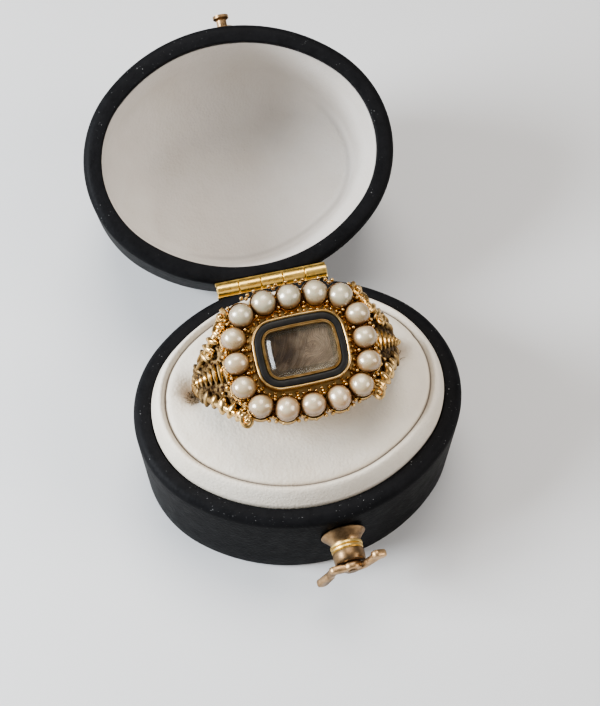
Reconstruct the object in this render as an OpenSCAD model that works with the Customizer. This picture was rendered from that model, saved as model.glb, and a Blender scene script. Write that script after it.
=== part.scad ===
// A mourning ring held in the pad of its oval ring box, with the lid open.
// Origin at the centre of the box's underside, +Z up, the clasp towards -Y, the hinge along X.

/* [Box] */
// Half the length of the oval box, along X
box_a = 16.5; // [16:0.1:17.5]
// Half the depth of the oval box, along Y
box_b = 13.7; // [13.2:0.1:14.2]
// Radius of the oval's two round ends
end_r = 11.9; // [11.6:0.1:12.2]
// Height of the base, from its underside to its rim
base_h = 12.2; // [12:0.1:14]
// Thickness of the base's wall
base_wall = 1.8; // [1.6:0.1:1.9]
// Thickness of the base's floor
floor_t = 1.3; // [1:0.1:1.4]
// Rounding of the rims' outer edges
rim_r = 0.9; // [0.4:0.1:1.1]

/* [Lid] */
// Depth of the lid, from its lip to its top
lid_depth = 15.8; // [15.6:0.1:16.2]
// Thickness of the lid's wall behind its lining
lid_wall = 1.25; // [1:0.05:1.3]
// Width of the lip that covers the lining's edge
lid_lip = 1.9; // [1.7:0.05:2]
// Rounding of the lid's top edge
lid_r = 4.5; // [4:0.1:5]
// Thickness of the lid's lining
lining_t = 0.6; // [0.4:0.05:0.7]
// How far the lid stands open, from closed
lid_open = 151; // [90:1:151]

/* [Hinge] */
// Length of the hinge barrel
hinge_len = 11.8; // [10:0.1:12.2]
// How far the hinge sits to the right of the middle
hinge_x = 0.4; // [0:0.1:0.5]
// Number of knuckles, the outer ones on the base
knuckles = 5; // [5]
// Radius of the hinge barrel
knuckle_r = 0.64; // [0.6:0.01:0.75]
// Radius of the hinge pin
pin_r = 0.33; // [0.25:0.01:0.36]

/* [Ring] */
// Radius of the finger hole
finger_r = 9; // [8.8:0.1:9.1]
// Height of the pearls' centres over the middle of the finger hole
head_drop = 11.2; // [11.1:0.1:11.4]
// Height of the pearls' centres over the box's rim
head_h = 10.2; // [10.1:0.1:10.4]
// Place of the pearls' middle along Y
ring_y = -0.8; // [-1:0.1:-0.7]
// Lean of the ring towards the front, in degrees
ring_lean = 19; // [16:1:21]
// Width of the shank
shank_w = 2.4; // [2:0.1:2.6]
// Thickness of the shank
shank_t = 1.2; // [1:0.1:1.3]
// Radius of the largest pearls
pearl_r = 1.18; // [1.1:0.01:1.18]

/* [Locket frame] */
// Half the length of the gold frame round the glass
frame_a = 4.35; // [4.25:0.05:4.45]
// Half the width of the gold frame round the glass
frame_b = 3.3; // [3.2:0.05:3.4]
// Corner radius of the gold frame
frame_r = 1.9; // [1.8:0.05:2]
// Thickness of the outer gold border
border_t = 0.25; // [0.2:0.01:0.28]
// Width of the black enamel band
enamel_w = 0.66; // [0.6:0.01:0.7]
// Thickness of the inner gold border
inner_t = 0.28; // [0.24:0.01:0.3]

/* [Clasp] */
// How far the clasp sits to the right of the middle
clasp_x = 1.1; // [0:0.1:1.2]
// Radius of the clasp's wall plate
plate_r = 2.2; // [1.9:0.1:2.4]
// Height of the clasp's middle over the table
clasp_z = 8.1; // [7.6:0.1:8.6]
// Length of the clasp's body, from the wall to the hook
body_l = 3.1; // [2.4:0.1:3.4]
// Radius of the clasp's post
post_r = 0.5; // [0.4:0.05:0.6]

/* [Hidden] */
$fn = 96;
gap = 0.05;
// How far a cut runs past the piece that it cuts
over = 1;

// The oval is drawn with four arcs: two end arcs of end_r and two side arcs of side_r
end_x = box_a - end_r;
side_r = (end_x * end_x + box_b * box_b - end_r * end_r) / (2 * (box_b - end_r));
side_y = side_r - box_b;
turn = atan2(side_y, end_x);
// Steps round the shells' ovals
oval_steps = 48;

// Lid: its lip lies just over the rim when closed, and the hinge runs midway
lip_gap = 0.15;
lip_z = base_h + lip_gap;
hinge_z = base_h + lip_gap / 2;
hinge_y = box_b - 0.1;
notch = 0.95;
lining_z = 0.75;

// Pad: a rolled band rises from the rim to a seam, with a low dome inside it
pad_in = base_wall + gap;
band_in = 2.15;
groove_in = 3.2;
groove_h = 2.1;
dome_in = 9;
dome_h = 3.1;
// The flat middle of the dome stands this much over its slope
crown = 0.06;
slit_w = 0.3;
slot_gap = 0.12;

// Pearls: one quarter of the border, from the middle of the back to the end
pearl_quarter = [
    // x, y, share of the largest pearls' radius
    [0, 5.08, 1],
    [2.42, 4.97, 1],
    [4.67, 4.25, 0.985],
    [5.81, 2.26, 0.94],
    [5.98, 0, 0.94]
];
pearls = concat(
    [for (i = [0 : 4]) quarter_pearl(i, -1, 1)],
    [for (i = [3 : -1 : 0]) quarter_pearl(i, -1, -1)],
    [for (i = [1 : 4]) quarter_pearl(i, 1, -1)],
    [for (i = [3 : -1 : 1]) quarter_pearl(i, 1, 1)]);
seat_gap = 0.04;
plate_top = -0.35;
plate_low = -1.55;
edge_w = 0.3;
grain_r = 0.2;
bezel_top = 0.6;

// The arms of a shoulder, from the shank to the corners of the head: the back one is slimmer
back_arm = [
    // angle from the head's middle, along the finger, radius from the finger's middle, thickness
    [74, 0.1, 10.3, 0.95],
    [62, 0.5, 11.0, 0.8],
    [53, 1.1, 11.6, 0.75],
    [45, 2.1, 12.1, 0.7],
    [38, 3.6, 12.4, 0.65],
    [33, 5.0, 12.4, 0.6]
];
front_arm = [
    // angle from the head's middle, along the finger, radius from the finger's middle, thickness
    [74, 0.2, 10.3, 0.95],
    [63, 0.9, 10.9, 0.85],
    [54, 1.7, 11.6, 0.8],
    [45, 2.8, 12.1, 0.75],
    [38, 4.3, 12.4, 0.75],
    [32, 5.4, 12.4, 0.65]
];
// The ribs of a shoulder's fan, from the head to the shank
fan_ribs = [
    // angle, half length, radius from the finger's middle
    [37, 1.2, 12.2],
    [42, 1.1, 12.1],
    [47, 0.95, 11.9],
    [52, 0.8, 11.6],
    [57, 0.6, 11.25],
    [62, 0.45, 10.9]
];
rib_r = 0.3;

function snap(x) = round(x * 1000) / 1000;

// One pearl of the quarter, mirrored by the signs: its place and its radius
function quarter_pearl(i, sx, sy) =
    [sx * pearl_quarter[i][0], sy * pearl_quarter[i][1], pearl_r * pearl_quarter[i][2]];

function pearl_name(i) = str("pearl_", i < 10 ? "0" : "", i);

// Points of an arc from angle a0 to a1, stretched to rx and ry
function arc(cx, cy, rx, ry, a0, a1, n) =
    [for (i = [0 : n]) let (a = a0 + (a1 - a0) * i / n) [cx + rx * cos(a), cy + ry * sin(a)]];

// Sweeps a profile round the oval: its x is the distance inside the outline, its y the height
module oval_sweep() {
    for (s = [0, 180]) {
        rotate(s) {
            translate([end_x, 0, 0])
                rotate(-turn)
                    rotate_extrude(angle = 2 * turn)
                        translate([end_r, 0]) mirror([1, 0]) children();
            translate([0, -side_y, 0])
                rotate(turn)
                    rotate_extrude(angle = 180 - 2 * turn)
                        translate([side_r, 0]) mirror([1, 0]) children();
        }
    }
}

// The oval's point whose normal runs at the angle phi, the given distance inside its outline
function oval_point(inside, phi) =
    abs(cos(phi)) > cos(turn)
        ? [sign(cos(phi)) * end_x + (end_r - inside) * cos(phi), (end_r - inside) * sin(phi)]
        : [(side_r - inside) * cos(phi), (side_r - inside) * sin(phi) - sign(sin(phi)) * side_y];

// A closed shell lofted through ovals, each row a distance inside the outline and a height
module oval_loft(rows) {
    n = oval_steps;
    last = len(rows) - 1;
    points = [
        for (row = rows, i = [0 : n - 1])
            let (p = oval_point(row[0], (i + 0.5) * 360 / n)) [p.x, p.y, row[1]]
    ];
    sides = [
        for (r = [0 : last - 1], i = [0 : n - 1], half = [0, 1])
            let (j = (i + 1) % n, a = r * n + i, b = r * n + j, c = a + n, d = b + n)
                half == 0 ? [a, c, b] : [b, c, d]
    ];
    polyhedron(
        points = points,
        faces = concat([[for (i = [0 : n - 1]) i]], sides, [[for (i = [n - 1 : -1 : 0]) last * n + i]]));
}

// The oval's area, drawn the given distance inside its outline
module oval(inside) {
    for (s = [-1, 1]) {
        translate([s * end_x, 0]) circle(end_r - inside);
    }
    intersection() {
        translate([0, -side_y]) circle(side_r - inside);
        translate([0, side_y]) circle(side_r - inside);
        square([2 * (side_r - inside) * cos(turn), 4 * box_b], center = true);
    }
}

// A rounded rectangle of half sizes a and b
module round_rect(a, b, r, steps = 48) {
    square([2 * (a - r), 2 * b], center = true);
    square([2 * a, 2 * (b - r)], center = true);
    for (sx = [-1, 1], sy = [-1, 1]) {
        translate([sx * (a - r), sy * (b - r)]) circle(r, $fn = steps);
    }
}

// A straight bar with round ends, from point p to point q
module bar(p, q, r) {
    len = norm(q - p);
    translate(p) circle(r, $fn = 32);
    translate(q) circle(r, $fn = 32);
    translate(p)
        rotate(atan2(q.y - p.y, q.x - p.x))
            translate([0, -r]) square([len, 2 * r]);
}

// Swings its children from closed to where the lid stands open
module open_lid() {
    translate([0, hinge_y, hinge_z])
        rotate([-lid_open, 0, 0])
            translate([0, -hinge_y, -hinge_z]) children();
}

// The ring's own frame: the pearls' centres lie in its XY plane, the finger hole runs along Y
module ring_place() {
    translate([0, ring_y, base_h + head_h])
        rotate([ring_lean, 0, 0]) children();
}

// A place on a shoulder: an angle round the finger, a distance along it and a radius
module on_shoulder(angle, along, radius) {
    translate([0, 0, -head_drop])
        rotate([0, angle, 0])
            translate([0, along, radius]) children();
}

module hinge_notch() {
    translate([hinge_x - hinge_len / 2 - 0.1, box_b - notch, hinge_z - notch])
        cube([hinge_len + 0.2, 2 * notch, 2 * notch]);
}

module base_shell() {
    color("black")
        difference() {
            oval_loft(concat(
                [[0.5, 0], [0, 0.5]],
                arc(rim_r, base_h - rim_r, rim_r, rim_r, 180, 90, 3),
                [[base_wall, base_h], [base_wall, floor_t]]));
            hinge_notch();
        }
}

// The ring's room in the pad: a ring of clearance and a thin slit that closes above it
module pad_slot() {
    ring_place()
        translate([0, 0, -head_drop])
            rotate([90, 0, 0]) {
                rotate_extrude()
                    translate([finger_r - slot_gap, -shank_w / 2 - slot_gap])
                        square([shank_t + 0.35 + 2 * slot_gap, shank_w + 2 * slot_gap]);
                cylinder(h = slit_w, r = finger_r + shank_t, center = true);
            }
    // Wider mouths where the shoulders go in
    for (s = [-1, 1]) {
        ring_place()
            translate([s * (finger_r + 0.75), 0, -5.2])
                cylinder(h = 7.4, r = 1.95, center = true);
    }
}

module pad() {
    low = floor_t + gap;
    step = snap(base_h - 1.2);
    top = snap(base_h + dome_h);
    color("ivory")
        difference() {
            union() {
                translate([0, 0, low]) linear_extrude(snap(step - low + 1)) oval(pad_in);
                oval_sweep()
                    polygon([
                        [pad_in, step], [pad_in, base_h - 0.4], [band_in, base_h],
                        [band_in + 0.3, base_h + 1.5], [band_in + 0.75, base_h + groove_h],
                        [groove_in + 0.3, base_h + groove_h + 0.2], [dome_in - 1, top],
                        [dome_in, top], [dome_in, step]]);
                translate([0, 0, step - 0.5])
                    linear_extrude(snap(top - step) + 0.5 + crown) oval(dome_in - 0.5);
            }
            pad_slot();
        }
}

module lid_shell() {
    top = lip_z + lid_depth;
    color("black")
        open_lid()
            difference() {
                oval_loft(concat(
                    arc(lid_r, top - lid_r, lid_r - lid_wall, lid_r - lid_wall, 90, 180, 5),
                    [[lid_wall, lip_z + lining_z], [lid_lip, lip_z + lining_z], [lid_lip, lip_z]],
                    arc(rim_r, lip_z + rim_r, rim_r, rim_r, 270, 180, 3),
                    arc(lid_r, top - lid_r, lid_r, lid_r, 180, 90, 6)));
                hinge_notch();
            }
}

module lid_lining() {
    side = lid_wall + gap;
    outer_r = lid_r - side;
    inner_r = outer_r - lining_t;
    mid_z = lip_z + lid_depth - lid_r;
    low = lip_z + lining_z + 0.1;
    color("whitesmoke")
        open_lid()
            oval_loft(concat(
                arc(lid_r, mid_z, inner_r, inner_r, 90, 180, 5),
                [[side + lining_t, low], [side, low]],
                arc(lid_r, mid_z, outer_r, outer_r, 180, 90, 5)));
}

// The knuckles numbered from first in steps of two, joined by a strip in the notch
module hinge_half(first, side) {
    step = hinge_len / knuckles;
    strip_in = notch - 0.03;
    difference() {
        translate([hinge_x - hinge_len / 2, box_b - strip_in, side > 0 ? hinge_z + 0.2 : hinge_z - strip_in])
            cube([hinge_len, 0.45, strip_in - 0.2]);
        for (i = [1 - first : 2 : knuckles - 1]) {
            translate([hinge_x - hinge_len / 2 + i * step - gap, hinge_y, hinge_z])
                rotate([0, 90, 0]) cylinder(h = step + 2 * gap, r = knuckle_r + 0.08);
        }
        hinge_bore();
    }
    difference() {
        for (i = [first : 2 : knuckles - 1]) {
            translate([hinge_x - hinge_len / 2 + i * step + gap / 2, hinge_y, hinge_z])
                rotate([0, 90, 0]) cylinder(h = step - gap, r = knuckle_r);
        }
        hinge_bore();
    }
}

module hinge_bore() {
    translate([hinge_x - hinge_len / 2 - over, hinge_y, hinge_z])
        rotate([0, 90, 0]) cylinder(h = hinge_len + 2 * over, r = pin_r + 0.03);
}

module hinge_base() {
    color("goldenrod") hinge_half(0, -1);
}

module hinge_lid() {
    color("goldenrod") open_lid() hinge_half(1, 1);
}

module hinge_pin() {
    color("darkgoldenrod")
        translate([hinge_x - hinge_len / 2, hinge_y, hinge_z])
            rotate([0, 90, 0]) cylinder(h = hinge_len, r = pin_r);
}

// Plate, stepped collar and post of the clasp, turned about the axis that stands out of the wall
module clasp_plate() {
    color("peru")
        translate([clasp_x, -box_b - 0.02, clasp_z])
            rotate([90, 0, 0])
                rotate_extrude()
                    polygon([
                        [0, 0], [plate_r, 0], [plate_r, 0.2], [1.45, 1], [1.4, 1.15], [1.6, 1.2],
                        [1.6, 1.5], [1.5, 1.55], [1.5, 1.85], [1.55, 1.9], [1.55, body_l - 0.1],
                        [1.45, body_l], [post_r, body_l], [post_r, body_l + 0.85], [0, body_l + 0.85]]);
}

// The swinging hook: a thumb knob, an arm over the post, and a nose of two lobes
module clasp_hook() {
    color("peru")
        translate([clasp_x, -box_b - body_l - 0.07, clasp_z])
            rotate([90, 0, 0])
                linear_extrude(0.7)
                    difference() {
                        union() {
                            circle(0.95, $fn = 48);
                            bar([0, -0.4], [1.3, 0.1], 0.4);
                            bar([1.3, 0.1], [2.5, 1.9], 0.4);
                            translate([2.5, 2.1]) circle(0.62, $fn = 32);
                            bar([-0.4, 0.1], [-1.7, 0.2], 0.55);
                            bar([-2.1, -1.1], [-2.8, -2.7], 0.55);
                            bar([-1.7, 0.2], [-2.1, -1.1], 0.45);
                        }
                        circle(post_r + 0.05, $fn = 48);
                    }
}

module lid_catch() {
    color("peru")
        open_lid()
            translate([clasp_x, -box_b - 0.02, lip_z + 3])
                rotate([90, 0, 0])
                    rotate_extrude()
                        polygon([[0, 0], [1.3, 0], [1.3, 0.3], [0.55, 0.45], [0.55, 1.2], [0.85, 1.4],
                                 [0.85, 1.7], [0, 1.9]]);
}

// The head's plate: a scallop round each pearl, with a seat for it
module head_plate() {
    difference() {
        translate([0, 0, plate_low])
            linear_extrude(plate_top - plate_low) {
                for (p = pearls) {
                    translate([p[0], p[1]]) circle(p[2] + edge_w, $fn = 16);
                }
                polygon([for (p = pearls) [p[0], p[1]]]);
            }
        for (p = pearls) {
            translate([p[0], p[1], -pearl_r - seat_gap]) cylinder(h = 2, r = p[2] + seat_gap, $fn = 14);
        }
        translate([0, 0, plate_top - 0.1])
            linear_extrude(2) round_rect(frame_a - 1, frame_b - 1, frame_r - 1, 24);
    }
}

// Grains that hold the pearls: two outside each gap and one inside it
module grains() {
    for (i = [0 : 15]) {
        p = [pearls[i][0], pearls[i][1]];
        q = [pearls[(i + 1) % 16][0], pearls[(i + 1) % 16][1]];
        mid = (p + q) / 2;
        across = (q - p) / norm(q - p);
        way = [across.y, -across.x];
        outer = mid + way * (pearl_r + 0.02);
        for (s = [-1, 1]) {
            grain(outer + across * s * 0.3, 0.05);
        }
        grain(mid - way * 0.82, 0.2);
    }
}

module grain(at, height) {
    translate([at.x, at.y, plate_top - 0.5])
        cylinder(h = height - plate_top + 0.5, r = grain_r, $fn = 6);
}

// The frame round the glass: two gold borders on a floor
module bezel() {
    mid_in = border_t + enamel_w;
    glass_in = mid_in + inner_t;
    difference() {
        translate([0, 0, plate_low + 0.3])
            linear_extrude(bezel_top - plate_low - 0.3) round_rect(frame_a, frame_b, frame_r, 24);
        translate([0, 0, 0.1])
            linear_extrude(2)
                difference() {
                    round_rect(frame_a - border_t, frame_b - border_t, frame_r - border_t, 24);
                    round_rect(frame_a - mid_in, frame_b - mid_in, frame_r - mid_in, 24);
                }
        translate([0, 0, -0.45])
            linear_extrude(2)
                round_rect(frame_a - glass_in, frame_b - glass_in, frame_r - glass_in, 24);
    }
}

// One arm of leaves with a curl at its end, and a row of lobes along its outer side
module shoulder_side(arm) {
    for (i = [0 : len(arm) - 2]) {
        a = arm[i];
        b = arm[i + 1];
        hull() {
            on_shoulder(a[0], a[1], a[2]) sphere(a[3], $fn = 8);
            on_shoulder(b[0], b[1], b[2]) sphere(b[3], $fn = 8);
        }
        on_shoulder((a[0] + b[0]) / 2, (a[1] + b[1]) / 2 + 0.3, (a[2] + b[2]) / 2 + 0.2)
            sphere(0.6, $fn = 8);
    }
    tip = arm[len(arm) - 1];
    on_shoulder(tip[0], tip[1], tip[2] + 0.25)
        rotate_extrude($fn = 16) translate([0.45, 0]) circle(0.3, $fn = 8);
}

// The ribbed fan between the two arms
module shoulder_fan() {
    first = fan_ribs[0];
    last = fan_ribs[len(fan_ribs) - 1];
    hull() {
        on_shoulder(first[0] - 3, 0, first[2] - 0.9) sphere(0.8, $fn = 12);
        on_shoulder(last[0] + 6, 0, last[2] - 0.8) sphere(0.6, $fn = 12);
    }
    for (rib = fan_ribs) {
        hull() {
            for (s = [-1, 0, 1]) {
                on_shoulder(rib[0], s * rib[1], rib[2] - 0.45 * abs(s) - 0.25) sphere(rib_r, $fn = 8);
            }
        }
    }
}

module shank() {
    translate([0, 0, -head_drop])
        rotate([90, 0, 0])
            rotate_extrude($fn = 48)
                translate([finger_r, 0])
                    polygon(concat(
                        [[0, -shank_w / 2]],
                        arc(0.3, 0, shank_t - 0.3, shank_w / 2, -90, 90, 6),
                        [[0, shank_w / 2]]));
}

// The closed back under the head, hollowed by the finger
module head_back() {
    difference() {
        translate([0, 0, -4.6])
            linear_extrude(3.4) round_rect(5.6, 3.4, 2, 24);
        translate([0, 0, -head_drop])
            rotate([90, 0, 0]) cylinder(h = 20, r = finger_r, center = true, $fn = 48);
    }
}

module ring_body() {
    color("darkgoldenrod")
        ring_place() {
            shank();
            head_back();
            head_plate();
            grains();
            bezel();
            for (flip = [0, 1]) {
                mirror([flip, 0, 0]) {
                    shoulder_fan();
                    shoulder_side(back_arm);
                    mirror([0, 1, 0]) shoulder_side(front_arm);
                }
            }
        }
}

module enamel_border() {
    outer = border_t + 0.02;
    inner = border_t + enamel_w - 0.02;
    color("black")
        ring_place()
            translate([0, 0, 0.12])
                linear_extrude(0.4)
                    difference() {
                        round_rect(frame_a - outer, frame_b - outer, frame_r - outer);
                        round_rect(frame_a - inner, frame_b - inner, frame_r - inner);
                    }
}

module hair_panel() {
    inside = border_t + enamel_w + inner_t + 0.05;
    color("rosybrown")
        ring_place()
            translate([0, 0, -0.43])
                linear_extrude(0.2)
                    round_rect(frame_a - inside, frame_b - inside, frame_r - inside);
}

// The glass: a flat table and a bevel of facets round it
module crystal() {
    inside = border_t + enamel_w + inner_t + 0.03;
    a = frame_a - inside;
    b = frame_b - inside;
    r = frame_r - inside;
    bevel = 0.48;
    color("lightgrey")
        ring_place()
            hull() {
                translate([0, 0, -0.2]) linear_extrude(0.6) cut_rect(a, b, r);
                translate([0, 0, -0.2]) linear_extrude(0.9) cut_rect(a - bevel, b - bevel, r - 0.35);
            }
}

// A rectangle with its corners rounded in three short steps
module cut_rect(a, b, r) {
    polygon([
        for (q = [0 : 3], k = [0 : 3])
            let (sx = [1, -1, -1, 1][q], sy = [1, 1, -1, -1][q], t = 90 * q + 30 * k)
                [sx * (a - r) + r * cos(t), sy * (b - r) + r * sin(t)]
    ]);
}

module pearl(i) {
    color("seashell")
        ring_place()
            translate([pearls[i - 1][0], pearls[i - 1][1], 0]) sphere(pearls[i - 1][2]);
}

base_shell();
pad();
lid_shell();
lid_lining();
hinge_base();
hinge_lid();
hinge_pin();
clasp_plate();
clasp_hook();
lid_catch();
ring_body();
enamel_border();
hair_panel();
crystal();
for (i = [1 : 16]) {
    pearl(i);
}
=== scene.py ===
import random
from math import atan2, copysign, cos, degrees, exp, hypot, pi, radians, sin, sqrt

import bmesh
import bpy
from mathutils import Matrix, Vector, noise


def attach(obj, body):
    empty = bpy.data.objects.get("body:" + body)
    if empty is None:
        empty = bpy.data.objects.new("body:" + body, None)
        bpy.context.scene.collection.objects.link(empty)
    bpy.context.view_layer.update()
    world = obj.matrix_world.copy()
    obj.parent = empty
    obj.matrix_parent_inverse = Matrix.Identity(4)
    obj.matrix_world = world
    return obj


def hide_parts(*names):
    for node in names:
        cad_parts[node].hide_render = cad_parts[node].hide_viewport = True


# A mourning ring in its ring box. Every size below is in millimetres and is scaled when a piece is made.
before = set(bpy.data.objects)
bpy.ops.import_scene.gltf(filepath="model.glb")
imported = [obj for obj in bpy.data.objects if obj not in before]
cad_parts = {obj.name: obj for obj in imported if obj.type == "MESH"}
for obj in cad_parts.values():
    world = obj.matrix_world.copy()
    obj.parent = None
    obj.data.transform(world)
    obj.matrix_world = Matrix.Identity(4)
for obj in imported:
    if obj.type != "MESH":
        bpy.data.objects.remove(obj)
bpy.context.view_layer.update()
scene = bpy.context.scene
mm = 0.001

# Sizes that several pieces share, as the frame has them
box = {"endX": 4.6, "endR": 11.9, "b": 13.7, "baseH": 12.2, "wall": 1.8, "rim": 0.9}
box["sideR"] = (box["endX"] ** 2 + box["b"] ** 2 - box["endR"] ** 2) / (2 * (box["b"] - box["endR"]))
box["sideY"] = box["sideR"] - box["b"]
box["turn"] = atan2(box["sideY"], box["endX"])
hinge = {"x": 0.4, "y": 13.6, "z": 12.275, "length": 11.8, "knuckles": 5, "radius": 0.64, "open": 151}
ring = {"lean": 19, "y": -0.8, "z": 22.4, "drop": 11.2, "fingerR": 9.0}
ringPlace = (
    Matrix.Translation((0, ring["y"], ring["z"]))
    @ Matrix.Rotation(radians(ring["lean"]), 4, "X")
)
lidPlace = (
    Matrix.Translation((0, hinge["y"], hinge["z"]))
    @ Matrix.Rotation(radians(-hinge["open"]), 4, "X")
    @ Matrix.Translation((0, -hinge["y"], -hinge["z"]))
)
unitPlace = Matrix.Identity(4)


def ease(low, high, x):
    t = min(1, max(0, (x - low) / (high - low)))
    return t * t * (3 - 2 * t)


# A bell curve, 1 in its middle
def bell(x):
    return exp(-(x**2))


def arcRows(cx, cz, r, start, end, count):
    rows = []
    for i in range(count + 1):
        a = radians(start + (end - start) * i / count)
        rows.append((cx + r * cos(a), cz + r * sin(a)))
    return rows


# The box's oval, four arcs, at the given distance inside its outline
def ovalPoint(inside, t):
    a = 2 * pi * t
    c, s = cos(a), sin(a)
    if abs(c) > cos(box["turn"]):
        return (copysign(box["endX"], c) + (box["endR"] - inside) * c, (box["endR"] - inside) * s)
    r = box["sideR"] - inside
    return (r * c, r * s - copysign(box["sideY"], s))


def roundRect(a, b, r, bow=0.0):
    # Half sizes, corner radius and how far the sides bow out, walked by length
    def point(inside, t):
        w, h, c = a - r, b - r, r - inside
        legs = [2 * h, 2 * w, 2 * h, 2 * w]
        bend = pi / 2 * r
        total = sum(legs) + 4 * bend
        d = (t % 1) * total
        corners = [(w, h), (-w, h), (-w, -h), (w, -h)]
        for k in range(4):
            start = 90 * k
            cx, cy = corners[k]
            side = (corners[k - 1], corners[k])
            if d <= legs[k]:
                f = d / legs[k]
                x = side[0][0] + (side[1][0] - side[0][0]) * f
                y = side[0][1] + (side[1][1] - side[0][1]) * f
                out = c + bow * (1 - (2 * f - 1) ** 2)
                n = radians(start)
                return (x + out * cos(n), y + out * sin(n))
            d -= legs[k]
            if d <= bend:
                n = radians(start + 90 * d / bend)
                return (cx + c * cos(n), cy + c * sin(n))
            d -= bend
        return (w + c, -h)

    return point


def ringOf(bm, points):
    verts = bmesh.ops.create_circle(bm, cap_ends=False, segments=len(points), radius=1)["verts"]
    verts = sorted(verts, key=lambda v: atan2(v.co.y, v.co.x))
    for v, p in zip(verts, points):
        v.co = p
    return verts


def extrudeRing(bm, verts, points):
    old = set(verts)
    edges = [e for v in verts for e in v.link_edges if e.other_vert(v) in old]
    made = bmesh.ops.extrude_edge_only(bm, edges=list(dict.fromkeys(edges)))["geom"]
    new = {g for g in made if isinstance(g, bmesh.types.BMVert)}
    after = [next(e.other_vert(v) for e in v.link_edges if e.other_vert(v) in new) for v in verts]
    for v, p in zip(after, points):
        v.co = p
    return after


# Skins a row of rings, and closes its ends with faces or joins them to each other
def skin(bm, circles, joined=False):
    rings = []
    for circle in circles:
        rings.append(extrudeRing(bm, rings[-1], circle) if rings else ringOf(bm, circle))
    ends = (rings[0], rings[-1])
    if joined:
        edges = []
        for verts in ends:
            own = set(verts)
            edges += [e for v in verts for e in v.link_edges if e.other_vert(v) in own]
        bmesh.ops.bridge_loops(bm, edges=list(dict.fromkeys(edges)))
    else:
        for verts in ends:
            bm.faces.new(verts)


# Lofts an outline through rows of (inside, height)
def loft(bm, outline, rows, steps, joined=False, height=None):
    circles = []
    for row in rows:
        circle = []
        for i in range(steps):
            spot = outline(row[0], i / steps)
            if len(spot) == 2:
                spot = (*spot, row[1] if height is None else height(*spot, row))
            circle.append(Vector(spot))
        circles.append(circle)
    skin(bm, circles, joined)


# Turns a profile about an axis through the centre
def turned(bm, points, centre, axis, steps, close=True):
    verts = [bm.verts.new(p) for p in points]
    edges = [bm.edges.new(pair) for pair in zip(verts, verts[1:])]
    if close:
        edges.append(bm.edges.new((verts[-1], verts[0])))
    bmesh.ops.spin(bm, geom=verts + edges, cent=centre, axis=axis, angle=2 * pi, steps=steps,
                   use_merge=True)


# A round bar through points, with a radius at each
def tube(bm, points, radii, up, sides=8):
    points = [Vector(p) for p in points]
    circles = []
    for i, p in enumerate(points):
        way = (points[min(i + 1, len(points) - 1)] - points[max(i - 1, 0)]).normalized()
        top = up(i) if callable(up) else Vector(up)
        side = way.cross(top).normalized()
        lift = side.cross(way).normalized()
        circle = []
        for k in range(sides):
            a = 2 * pi * k / sides
            circle.append(p + radii[i] * (cos(a) * side + sin(a) * lift))
        circles.append(circle)
    skin(bm, circles)


# A leaf from one point to another, blunt at its start, with veins along it where they are asked for
def lobe(bm, start, end, width, height, up, veins=0, taper=0.45):
    start, end, up = Vector(start), Vector(end), Vector(up)
    way = (end - start).normalized()
    side = way.cross(up).normalized()
    lift = side.cross(way).normalized()
    half = (end - start).length / 2
    middle = (start + end) / 2
    verts = bmesh.ops.create_uvsphere(bm, u_segments=12, v_segments=8, radius=1)["verts"]
    for v in verts:
        x, y, z = v.co
        thin = 1 - taper * max(z, 0) ** 1.5
        y *= 1 + 0.22 * cos(veins * x * pi) if veins and y > 0 else 1
        v.co = middle + side * x * width * thin + lift * y * height * thin + way * z * half


def bead(bm, at, r, tall=1.0):
    verts = bmesh.ops.create_uvsphere(bm, u_segments=10, v_segments=6, radius=r)["verts"]
    for v in verts:
        v.co = Vector(at) + Vector((v.co.x, v.co.y, v.co.z * tall))


def makeObject(name, bm, place=unitPlace, angle=35, marks=None, body="base", slot=None):
    # Marks are values stored at each vertex for the materials, worked out before the piece is placed
    bmesh.ops.remove_doubles(bm, verts=bm.verts, dist=0.0005)
    bmesh.ops.recalc_face_normals(bm, faces=bm.faces)
    bm.verts.index_update()
    values = {key: [mark(v.co.copy()) for v in bm.verts] for key, mark in (marks or {}).items()}
    bmesh.ops.transform(bm, matrix=Matrix.Scale(mm, 4) @ place, verts=bm.verts)
    mesh = bpy.data.meshes.new(name)
    bm.to_mesh(mesh)
    bm.free()
    for key, found in values.items():
        layer = mesh.attributes.new(key, "FLOAT", "POINT")
        layer.data.foreach_set("value", found)
    mesh.shade_smooth()
    mesh.set_sharp_from_angle(angle=radians(angle))
    obj = bpy.data.objects.new(name, mesh)
    scene.collection.objects.link(obj)
    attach(obj, body)
    if slot:
        mesh.materials.append(looks[slot])
    return obj


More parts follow.
